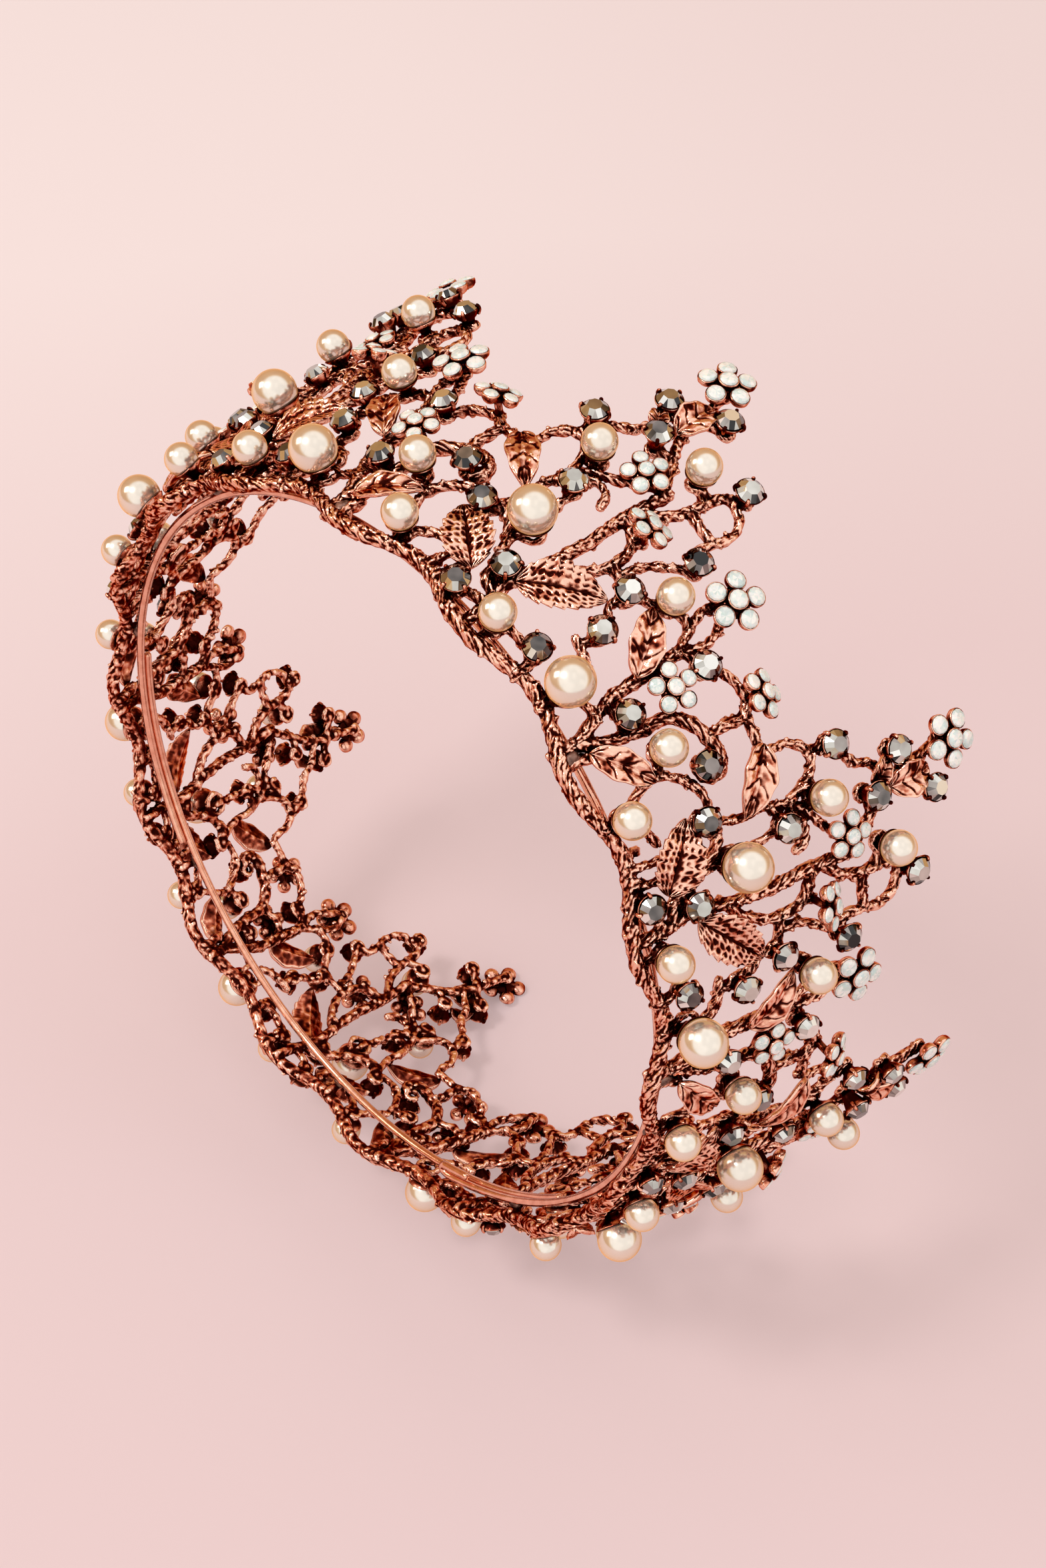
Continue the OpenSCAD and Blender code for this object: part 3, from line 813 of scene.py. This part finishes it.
# Relief of smooth leaves. Places across a leaf are shares of its half-width.
LOBE_H = 0.50
LOBE_AT = 0.55
VEINS = 4.2
VEIN_SLANT = 0.9
VEIN_SHARP = 5
VEIN_DEPTH = 0.30
VEIN_BEND = (0.05, 0.9)
MIDRIB_H = 0.40
MIDRIB_W = 0.10
RIM_H = 0.20
RIM_AT = 0.86
HAMMERED = (0.12, 0.8)

# Relief of toothed leaves: pits in slanting rows. The radius and the stray are shares of a pit's cell.
PIT_COLUMNS = 10.4
PIT_ROWS = 3.5
PIT_SLANT = 1.7
FIRST_ROW = 0.08
PIT_STRAY = (0.4, 0.6)
PIT_R = 0.34
PIT_DEPTH = 0.26
FURROW_W = 0.06
FURROW_DEPTH = 0.42
UNEVEN = (0.16, 0.6)


def leaf_width(s, toothed):
    """Half-width of a leaf as a share of its greatest, at a share s of its length."""
    even = 2.6 * max(s, 0.002) ** 0.6 * max(1 - s, 0.004) ** 0.8
    if toothed:
        return even * (0.92 + 0.15 * (s * TEETH % 1))
    return even * (1 + 0.05 * math.sin(19 * s))


def midline(w, width):
    """1 on the middle of a leaf, and 0 well away from it."""
    return math.exp(-(w / width) ** 2)


def smooth_relief(s, w, place):
    """Relief of a smooth leaf: full lobes between grooved veins, a raised midrib and a thin rim."""
    lobe = LOBE_H * math.cos(0.5 * math.pi * min(1, abs(abs(w) - LOBE_AT) / LOBE_AT))
    bent = s + lumps(place, *VEIN_BEND)
    vein = max(0.0, math.cos(2 * math.pi * (VEINS * bent - VEIN_SLANT * abs(w)))) ** VEIN_SHARP
    groove = VEIN_DEPTH * vein * min(1, 3 * (1 - abs(w)))
    rim = RIM_H * max(0, (abs(w) - RIM_AT) / (1 - RIM_AT))
    return lobe - groove + MIDRIB_H * midline(w, MIDRIB_W) + rim + lumps(place, *HAMMERED)


def pitted_relief(s, w, place):
    """Relief of a toothed leaf: round pits in slanting rows, and a deep furrow along the middle."""
    column = PIT_COLUMNS * s - PIT_SLANT * abs(w) + lumps(place, *PIT_STRAY)
    height, scale = PIT_STRAY
    row = PIT_ROWS * abs(w) + FIRST_ROW + height * noise.noise(place * scale + Vector((9, 0, 0)))
    stagger = 0.5 * (math.floor(row) % 2)
    off = math.hypot((column + stagger) % 1 - 0.5, row % 1 - 0.5)
    pit = math.exp(-(off / PIT_R) ** 4)
    furrow = midline(w, FURROW_W)
    return lumps(place, *UNEVEN) - PIT_DEPTH * pit * (1 - furrow) - FURROW_DEPTH * furrow


def grid_faces(rows, columns, first, flip):
    faces = []
    for i in range(rows):
        for j in range(columns):
            a = first + i * (columns + 1) + j
            face = [a, a + 1, a + columns + 2, a + columns + 1]
            faces.append(face[::-1] if flip else face)
    return faces


def grid_rim(rows, columns):
    """The points round the edge of a grid, in order."""
    row = columns + 1
    start = list(range(columns))
    right = [i * row + columns for i in range(rows)]
    end = [rows * row + j for j in range(columns, 0, -1)]
    left = [i * row for i in range(rows, 0, -1)]
    return start + right + end + left


def add_leaf(shape, base, tip, width, toothed, twist):
    """An arched and folded leaf with relief on its front and lumps on its back."""
    base, tip = Vector(base), Vector(tip)
    along = tip - base
    across = Vector((-along.y, along.x)).normalized()
    lean_out = math.tan(math.radians(twist))
    relief = pitted_relief if toothed else smooth_relief
    front, back = [], []
    for i in range(LEAF_ROWS + 1):
        s = i / LEAF_ROWS
        half = width / 2 * leaf_width(s, toothed)
        fade = min(1, half / LEAF_FADE)
        level = FACE + LEAF_T / 2 + LEAF_ARCH * math.sin(math.pi * s)
        for j in range(LEAF_COLUMNS + 1):
            w = 2 * j / LEAF_COLUMNS - 1
            u, v = base + s * along + w * half * across
            rise = level + half * (LEAF_FOLD * abs(w) + lean_out * w)
            front.append(on_wall(u, v, rise + fade * relief(s, w, Vector((u, v, 0)))))
            bulge = (LEAF_BULGE + lumps(Vector((u, v, 5)), *LEAF_LUMPS)) * (1 - w * w)
            back.append(on_wall(u, v, rise - LEAF_EDGE - fade * bulge))
    count = len(front)
    faces = grid_faces(LEAF_ROWS, LEAF_COLUMNS, 0, True) + grid_faces(LEAF_ROWS, LEAF_COLUMNS, count, False)
    rim = grid_rim(LEAF_ROWS, LEAF_COLUMNS)
    for a, b in zip(rim, rim[1:] + rim[:1]):
        faces.append([a, b, b + count, a + count])
    shape.add(front + back, faces)


def leaf_mesh(material):
    shape = Shape()
    for leaf in LEAVES:
        add_leaf(shape, *leaf)
    mesh = shape.mesh("foliage")
    points, normals, _ = arrays_of(mesh)
    patina_and_shade = LEAF_HOLLOW * cavity(mesh, *LEAF_CAVITY) - LEAF_RUBBED
    # Patina in the leaf's recesses, and painted shade on the side that faces the head.
    return finished(mesh, material, patina_and_shade + LEAF_BACK_PAINTED_SHADE * facing_in(points, normals))


# The settings


CUP_SIDES = 32
# How deep a cup's foot is sunk into the stems
CUP_ROOT = 0.5
PEARL_CUP_T = 0.32
# Arcs of a pearl cup, in degrees above the pearl's equator and steps
PEARL_CUP_OUTER = (-62, -34, 6)
PEARL_CUP_INNER = (-35, -50, 4)
CLAWS = 4
CLAW_R = 0.33
CLAW_SIDES = 8
# A claw's places: out from the crystal's edge and up from its girdle
CLAW_PLACES = [(-0.1, -1.0), (0.26, -0.4), (0.24, 0.15), (0.02, 0.42)]
CRYSTAL_CUP_HOLLOWS = [0.8, 0.8, 0.75, 0.7, 0.55, 0.4, 0.35, 0.8, 0.9, 0.9]

PETALS = 5
PETAL_SIDES = 24
PETAL_TILT = 10
PETAL_HOLLOWS = [0.4, 0.36, 0.36, 0.36, 0.34, 0.25, 0.3, 0.8, 0.9]
PLATE_HOLLOWS = [0.6, 0.6, 0.7, 0.9, 0.9]
STALK_RADII = [0.8, 0.7, 0.7, 0.9]
ARM_R = 0.5
# Beads between the petals: radius, and distance from the heart as a share of the opal's diameter
BEAD_R = 0.35
BEAD_AT = 0.66


def pearl_height(r):
    """Height of a pearl's middle above the wall."""
    return PEARL_SEAT + math.sqrt(1 - PEARL_RIM ** 2) * r


def add_pearl_cup(shape, place, pearl_d):
    """A bowl that hugs the lower part of its pearl."""
    r = pearl_d / 2
    middle = pearl_height(r)
    foot = [(0, FACE - CUP_ROOT), (0.32 * r, FACE - CUP_ROOT), (0.36 * r, FACE)]
    outer = arc(r + PEARL_CUP_T, *PEARL_CUP_OUTER, middle)
    inner = arc(r, *PEARL_CUP_INNER, middle)
    profile = foot + outer + inner + [(0, inner[-1][1])]
    dark = [0.8] * len(foot) + [0.62 - 0.05 * k for k in range(len(outer))] + [0.9] * (len(inner) + 1)
    shape.add(*lathe(profile, CUP_SIDES), seat(*place), ring_hollows(profile, CUP_SIDES, dark))


def add_crystal_cup(shape, u, v, extra, turn):
    """A cone cup with claws that hold the crystal at its girdle."""
    r = CRYSTAL_D / 2
    bottom = CRYSTAL_SEAT + extra
    girdle = CRYSTAL_SEAT + extra + CRYSTAL_BACK
    profile = [
        (0, FACE - CUP_ROOT), (0.5 * r, FACE - CUP_ROOT), (0.55 * r, FACE), (0.82 * r, bottom - 0.1),
        (r + 0.12, girdle - 0.35), (r + 0.22, girdle - 0.05), (r + 0.16, girdle + 0.08), (r + 0.04, girdle),
        (0.6 * r, bottom), (0, bottom),
    ]
    place = seat(u, v)
    shape.add(*lathe(profile, CUP_SIDES), place, ring_hollows(profile, CUP_SIDES, CRYSTAL_CUP_HOLLOWS))
    bend = curve([(r + out, 0, girdle + up) for out, up in CLAW_PLACES], 0.2)
    claw = tube(bend, [CLAW_R] * len(bend), CLAW_SIDES)
    for k in range(CLAWS):
        shape.add(*claw, place @ turned("Z", turn + 45 + 360 / CLAWS * k))


def petal_profile(r):
    rim = r + PETAL_RIM
    return [
        (0, -0.3), (0.55 * r, -0.2), (0.9 * r, 0.12), (rim - 0.04, 0.6), (rim + 0.02, PETAL_T),
        (rim - 0.02, PETAL_T + 0.26), (r + 0.1, PETAL_T + 0.28), (r, PETAL_T + 0.1), (0, PETAL_T),
    ]


def petal_frames(flower):
    """Frames of a flower: each petal's cup, the raised heart and the plate under them."""
    plate = seat(flower.u, flower.v, FACE + STALK_H + flower.extra, flower.tilt)
    reach = moved(flower.opal_d + OPAL_GAP, 0, 0) @ turned("Y", PETAL_TILT)
    petals = [plate @ turned("Z", flower.turn + 360 / PETALS * k) @ reach for k in range(PETALS)]
    return petals, plate @ moved(0, 0, HEART_H), plate


def add_flower(shape, flower):
    """Petal cups round a raised heart, with beads between them, on a plate and a stalk."""
    opal_d = flower.opal_d
    cup = petal_profile(opal_d / 2)
    patina_and_shade = ring_hollows(cup, PETAL_SIDES, PETAL_HOLLOWS)
    petals, heart, plate = petal_frames(flower)
    for petal in [*petals, heart]:
        shape.add(*lathe(cup, PETAL_SIDES), petal, patina_and_shade)
    disc = [(0, 0), (0.8 * opal_d, 0), (0.9 * opal_d, 0.3), (0.8 * opal_d, 0.6), (0, 0.7)]
    shape.add(*lathe(disc, PETAL_SIDES), plate, ring_hollows(disc, PETAL_SIDES, PLATE_HOLLOWS))
    lifts = (0, FACE, FACE + STALK_H + flower.extra)
    stalk = [on_wall(flower.u, flower.v, lift) for lift in lifts] + [heart @ Vector((0, 0, 0))]
    shape.add(*tube(stalk, STALK_RADII, 10))
    ball = lathe([(0, -BEAD_R), *arc(BEAD_R, -60, 60, 4), (0, BEAD_R)], 10)
    for k, petal in enumerate(petals):
        between = turned("Z", flower.turn + 360 / PETALS * (k + 0.5))
        shape.add(*ball, plate @ between @ moved(BEAD_AT * opal_d, 0, PETAL_T - 0.1))
        arm = [heart @ Vector((0, 0, -0.2)), petal @ Vector((0, 0, 0.1))]
        shape.add(*tube(arm, [ARM_R, ARM_R], 8))


def cup_mesh(material):
    chance = random.Random(5)
    shape = Shape()
    for pearl in PEARLS:
        add_pearl_cup(shape, *pearl)
    for u, v, extra in CRYSTALS:
        add_crystal_cup(shape, u, v, extra, chance.uniform(0, 90))
    for flower in FLOWERS:
        add_flower(shape, flower)
    return finished(shape.mesh("cups"), material, shape.patina_and_shade)


# The pearls and stones


PEARL_SIDES = 48
OFF_ROUND = (0.004, 0.35)
# The most that a crystal sits askew in its cup, in degrees
ASKEW = 4
# Outline of an opal: shares of its radius, outwards and upwards
OPAL_PROFILE = [(0, 0), (1, 0), (1, 0.24), (0.86, 0.42), (0.55, 0.54), (0, 0.56)]
OPAL_SIDES = 12
OPAL_LAP = 0.06


def pearl_mesh(places, pearl_d, material):
    """Pearls, very slightly off round as lacquered beads are."""
    r = pearl_d / 2
    depth, scale = OFF_ROUND
    points, faces = lathe([(0, -r), *arc(r, -84, 84, 28), (0, r)], PEARL_SIDES)
    shape = Shape()
    for u, v in places:
        shift = Vector((u, v, 0))
        beads = [p * (1 + depth * noise.noise(p * scale + shift)) for p in points]
        shape.add(beads, faces, seat(u, v, pearl_height(r)))
    return finished(shape.mesh("pearls"), material)


def chaton():
    """Points and faces of a crystal: an octagonal table, and sixteen facets above and below the girdle."""
    r = CRYSTAL_D / 2
    girdle, top = CRYSTAL_BACK + GIRDLE_H, CRYSTAL_BACK + GIRDLE_H + CRYSTAL_CROWN
    eighth = math.pi / 4

    def ring(radius, z, count, start):
        step = 2 * math.pi / count
        return [Vector((radius * math.cos(start + k * step), radius * math.sin(start + k * step), z))
                for k in range(count)]

    table = ring(0.56 * r, top, 8, 0)
    high = ring(r, girdle, 16, eighth / 4)
    low = ring(r, CRYSTAL_BACK, 16, eighth / 4)
    back = ring(0.6 * r, 0, 8, eighth / 2)
    # Numbers of the first points of the rings below the table
    a, b, c = 8, 24, 40
    faces = [list(range(8)), list(range(c, c + 8))[::-1]]
    for k in range(8):
        n = (k + 1) % 8
        faces.append([k, a + 2 * k, a + 2 * k + 1, n])
        faces.append([k, a + (2 * k - 1) % 16, a + 2 * k])
        faces.append([c + k, b + 2 * k + 1, b + 2 * k])
        faces.append([c + k, c + n, b + (2 * k + 2) % 16, b + 2 * k + 1])
    for k in range(16):
        n = (k + 1) % 16
        faces.append([b + k, b + n, a + n, a + k])
    return table + high + low + back, faces


def faceted(mesh, chance):
    """Gives every face a value of its own, between 0 and 1: painted light that differs from face to face."""
    facets = mesh.attributes.new("painted_facet_light", "FLOAT", "FACE")
    facets.data.foreach_set("value", [chance.random() for _ in mesh.polygons])
    return mesh


def crystal_mesh(material):
    chance = random.Random(3)
    shape = Shape()
    for u, v, extra in CRYSTALS:
        askew = turned("X", chance.uniform(-ASKEW, ASKEW)) @ turned("Y", chance.uniform(-ASKEW, ASKEW))
        place = seat(u, v, CRYSTAL_SEAT + extra) @ askew @ turned("Z", chance.uniform(0, 45))
        shape.add(*chaton(), place)
    return finished(faceted(shape.mesh("crystals"), chance), material, smooth=False)


def opal_mesh(material):
    shape = Shape()
    for flower in FLOWERS:
        r = flower.opal_d / 2
        petals, heart, _ = petal_frames(flower)
        profile = [(share * (r + OPAL_LAP), rise * r) for share, rise in OPAL_PROFILE]
        for petal in [*petals, heart]:
            shape.add(*lathe(profile, OPAL_SIDES), petal @ moved(0, 0, PETAL_T))
    return finished(faceted(shape.mesh("opals"), random.Random(7)), material, smooth=False)


# The ring wires and their solder


WIRE_STEPS = 200
WIRE_SIDES = 16
# Places of a hairpin end: inwards from the wire's circle, and degrees past the wire's end
HAIRPIN = [(0, 0), (0.5, 0.9), (1.5, 1.1), (2.2, 0.3), (2.2, -2), (2, -5)]
# Drops of solder: half-sizes, the wire drop's shift outwards, and the joint drop's place on the wall
WIRE_DROP = (0.9, 1.5, 1.0)
WIRE_DROP_OUT = 0.2
JOINT_DROP = (1.7, 1.2, 0.9)
JOINT_DROP_AT = (-2.6, 0.2, 0.3)


def wire_mesh(wire, hairpin, material):
    """A drawn wire bent round the ring. A hairpin end turns back on itself."""
    path = [on_ring(WIRE_R, wire.start + wire.span * k / WIRE_STEPS, wire.z) for k in range(WIRE_STEPS + 1)]
    if hairpin:
        end = wire.start + wire.span
        path = path[:-1] + curve([on_ring(WIRE_R - r, end + a, wire.z) for r, a in HAIRPIN], 0.4)
    shape = Shape()
    shape.add(*tube(path, [WIRE_D / 2] * len(path), WIRE_SIDES))
    return finished(shape.mesh("wire"), material)


def add_drop(shape, place, size):
    """A drop of solder: a ball with lumps, flattened to its size."""
    points, faces = lathe([(0, -1), *arc(1, -75, 75, 10), (0, 1)], 20)
    lumpy = [p * (1 + 0.25 * noise.noise(p * 1.3 + place.translation)) for p in points]
    shape.add(lumpy, faces, place @ Matrix.Diagonal((*size, 1)))


def covers(wire, degrees):
    return (degrees - wire.start) % 360 <= wire.span


def panel_turn(index):
    return FIRST_TURN + index * 360 / PANELS


def solder_mesh(material):
    """Drops between the wires and the lugs, and at the joints of the panels."""
    shape = Shape()
    for index in range(PANELS):
        crest = panel_turn(index) + math.degrees(turn_of(CREST_U))
        for wire in (LONG_WIRE, SHORT_WIRE):
            if covers(wire, crest):
                middle = on_ring((WIRE_R + LUG_FACE_R) / 2 + WIRE_DROP_OUT, crest, wire.z)
                add_drop(shape, Matrix.Translation(middle) @ turned("Z", crest), WIRE_DROP)
        add_drop(shape, turned("Z", panel_turn(index)) @ seat(*JOINT_DROP_AT), JOINT_DROP)
    return finished(shape.mesh("solder"), material)


def piece(name, mesh, slot, nodes):
    """A shown piece on the crown, in place of CAD nodes."""
    thing = new_object(name, mesh)
    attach(thing, "root")
    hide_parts(*nodes)


def build_crown():
    copper, pearl, crystal, opal = antique_copper(), nacre(), hematite(), milk_opal()
    wire, solder = drawn_copper(), dark_solder()
    parts = [
        ("vines", vine_mesh(copper), "antique_copper", "vine_casting"),
        ("foliage", leaf_mesh(copper), "antique_copper", "leaves"),
        ("cups", cup_mesh(copper), "antique_copper", "settings"),
        ("big_pearls", pearl_mesh(LARGE_PEARLS, LARGE_PEARL_D, pearl), "pearl", "large_pearls"),
        ("little_pearls", pearl_mesh(SMALL_PEARLS, SMALL_PEARL_D, pearl), "pearl", "small_pearls"),
        ("chatons", crystal_mesh(crystal), "crystal", "crystals"),
        ("cabochons", opal_mesh(opal), "opal", "opals"),
    ]
    for i in range(1, PANELS + 1):
        place = turned("Z", panel_turn(i - 1))
        for name, mesh, slot, node in parts:
            own = mesh.copy()
            own.transform(place)
            piece(f"panel_{i}_{name}", own, slot, [f"panel_{i}_{node}"])
    piece("long_wire", wire_mesh(LONG_WIRE, True, wire), "copper_wire", ["ring_wire_long"])
    piece("short_wire", wire_mesh(SHORT_WIRE, False, wire), "copper_wire", ["ring_wire_short"])
    piece("solder_drops", solder_mesh(solder), "solder", ["solder_joints"])


# Camera, floor and light, in the photograph's view


CAMERA_PLACE = Vector((-112.99, -320.75, -181.44)) * MM
CAMERA_RIGHT = Vector((0.3103, -0.6166, 0.7236))
CAMERA_UP = Vector((-0.9082, 0.0323, 0.4171))
CAMERA_BACK = -Vector((0.2806, 0.7866, 0.5500))
CAMERA_LENS = 48.95
SENSOR_W = 36
CLIP = (0.01, 20)
# The floor's tilt towards the camera in degrees, and its side in metres
FLOOR_PITCH = 47
FLOOR_SIZE = 4.0
# The paper's colour with painted light, from the low edge of the view to the high one, where it is palest
PAPER_AND_PAINTED_LIGHT = [(0.0, (0.75, 0.58, 0.585)), (0.45, (0.755, 0.585, 0.59)), (1.0, (0.825, 0.70, 0.69))]
# The share of the floor's brightness that no shadow takes away
FLOOR_GLOW = 0.35
# Lamps: name, direction in the view, side of the square soft box in metres, and power in watts
LAMPS = [("key", (-0.47, 0.44, 0.77), 0.28, 6.0), ("side", (-0.85, 0.45, 0.35), 0.5, 2.4)]
LAMP_AIM = Vector((0, 0, 30)) * MM
LAMP_DISTANCE = 1.4
LAMP_COLOUR = (1.0, 0.98, 0.96)
# Light of the room by its direction: from 0, straight away from the screen, to 1, straight towards it
SCREEN_WAY = (0.20, 0.16, 0.96)
ROOM_LIGHT = [
    (0.10, (0.78, 0.60, 0.57)),
    (0.26, (0.60, 0.33, 0.14)),
    (0.61, (0.60, 0.33, 0.14)),
    (0.66, (0.78, 0.50, 0.26)),
    (0.73, (1.12, 1.10, 1.09)),
]


def view_axes(right, up, back):
    return Matrix((right, up, back)).transposed().to_4x4()


def make_camera():
    data = bpy.data.cameras.new("camera")
    data.lens = CAMERA_LENS
    data.sensor_width = SENSOR_W
    data.clip_start, data.clip_end = CLIP
    camera = new_object("camera", data)
    camera.matrix_world = Matrix.Translation(CAMERA_PLACE) @ view_axes(CAMERA_RIGHT, CAMERA_UP, CAMERA_BACK)
    bpy.context.scene.camera = camera


def floor_material():
    """Pale pink paper with painted light: paler towards the high edge of the view and darker to the right.
    It shows from above only, so that it hides nothing in a view from below.
    """
    n = Look("floor")
    n.set(Roughness=0.9, Specular_IOR_Level=0.1)
    spot = n.add("ShaderNodeSeparateXYZ")
    n.link(n.add("ShaderNodeTexCoord").outputs["Object"], spot.inputs["Vector"])
    # Painted light: paler towards the high edge of the view and darker to the right.
    height = n.spread(spot.outputs["Y"], 0, 1, -0.12, 0.36)
    aside = n.spread(spot.outputs["X"], 0.05, -0.15, -0.10, 0.15)
    shade = n.joined(n.joined(height, aside), n.spread(n.noise(0.004, 1.0), -0.06, 0.06))
    paper = n.ramp(shade, PAPER_AND_PAINTED_LIGHT)
    n.colour(paper)
    glow = n.add("ShaderNodeEmission")
    n.link(paper, glow.inputs["Color"])
    path = n.add("ShaderNodeLightPath")
    looked_at = n.joined(path.outputs["Is Camera Ray"], path.outputs["Is Glossy Ray"], "MAXIMUM")
    looked_at = n.joined(looked_at, path.outputs["Is Transmission Ray"], "MAXIMUM")
    lit = n.mixed(n.spread(looked_at, 0, FLOOR_GLOW), n.shader.outputs["BSDF"], glow.outputs["Emission"])
    below = n.add("ShaderNodeNewGeometry").outputs["Backfacing"]
    shown = n.mixed(below, lit, n.add("ShaderNodeBsdfTransparent").outputs["BSDF"])
    n.link(shown, n.tree.nodes["Material Output"].inputs["Surface"])
    return n.material


def floor_normal():
    pitch = math.radians(FLOOR_PITCH)
    return (math.cos(pitch) * CAMERA_UP + math.sin(pitch) * CAMERA_BACK).normalized()


def lowest_along(normal):
    """How far the shown crown reaches along a direction, at its lowest."""
    lowest = math.inf
    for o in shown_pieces():
        points, _, _ = arrays_of(o.data)
        points = points @ np.array(o.matrix_world.to_3x3()).T
        lowest = min(lowest, (points @ np.array(normal)).min())
    return lowest


def make_floor():
    """The plane that the crown leans on in the photograph."""
    normal = floor_normal()
    level = lowest_along(normal)
    half = FLOOR_SIZE / 2
    mesh = bpy.data.meshes.new("floor")
    corners = [(-half, -half, 0), (half, -half, 0), (half, half, 0), (-half, half, 0)]
    mesh.from_pydata(corners, [], [(0, 1, 2, 3)])
    mesh.materials.append(floor_material())
    floor = new_object("floor", mesh)
    across = CAMERA_RIGHT.normalized()
    axes = view_axes(across, normal.cross(across), normal)
    floor.matrix_world = Matrix.Translation(normal * level) @ axes


def in_view(toward):
    """A direction given in the view: right, up and towards the camera."""
    right, up, back = toward
    return (right * CAMERA_RIGHT + up * CAMERA_UP + back * CAMERA_BACK).normalized()


def add_lamp(name, toward, size, power):
    """A square soft box, placed by its direction in the view."""
    way = in_view(toward)
    data = bpy.data.lights.new(name, "AREA")
    data.shape = "SQUARE"
    data.size = size
    data.energy = power
    data.color = LAMP_COLOUR
    aim = way.to_track_quat("Z", "Y").to_matrix().to_4x4()
    lamp = new_object(name, data)
    lamp.matrix_world = Matrix.Translation(LAMP_AIM + LAMP_DISTANCE * way) @ aim


def make_world():
    """A studio room: a white screen on the camera's side, a golden dusk round it and pink paper behind."""
    world = bpy.data.worlds.new("room")
    world.use_nodes = True
    n = Nodes(world.node_tree)
    way = n.add("ShaderNodeTexCoord").outputs["Generated"]
    facing = n.add("ShaderNodeVectorMath", operation="DOT_PRODUCT")
    facing.inputs[1].default_value = in_view(SCREEN_WAY)
    n.link(way, facing.inputs[0])
    room = n.tree.nodes["Background"]
    n.link(n.ramp(n.spread(facing.outputs["Value"], 0, 1, -1, 1), ROOM_LIGHT), room.inputs["Color"])
    folds = n.spread(n.noise(1.9, 0.5, way), 0.9, 1.0, 0.42, 0.56, "SMOOTHSTEP")
    n.link(folds, room.inputs["Strength"])
    bpy.context.scene.world = world


def make_studio():
    make_camera()
    make_floor()
    make_world()
    for lamp in LAMPS:
        add_lamp(*lamp)
    bpy.context.scene.view_settings.view_transform = "Standard"


build_crown()
make_studio()
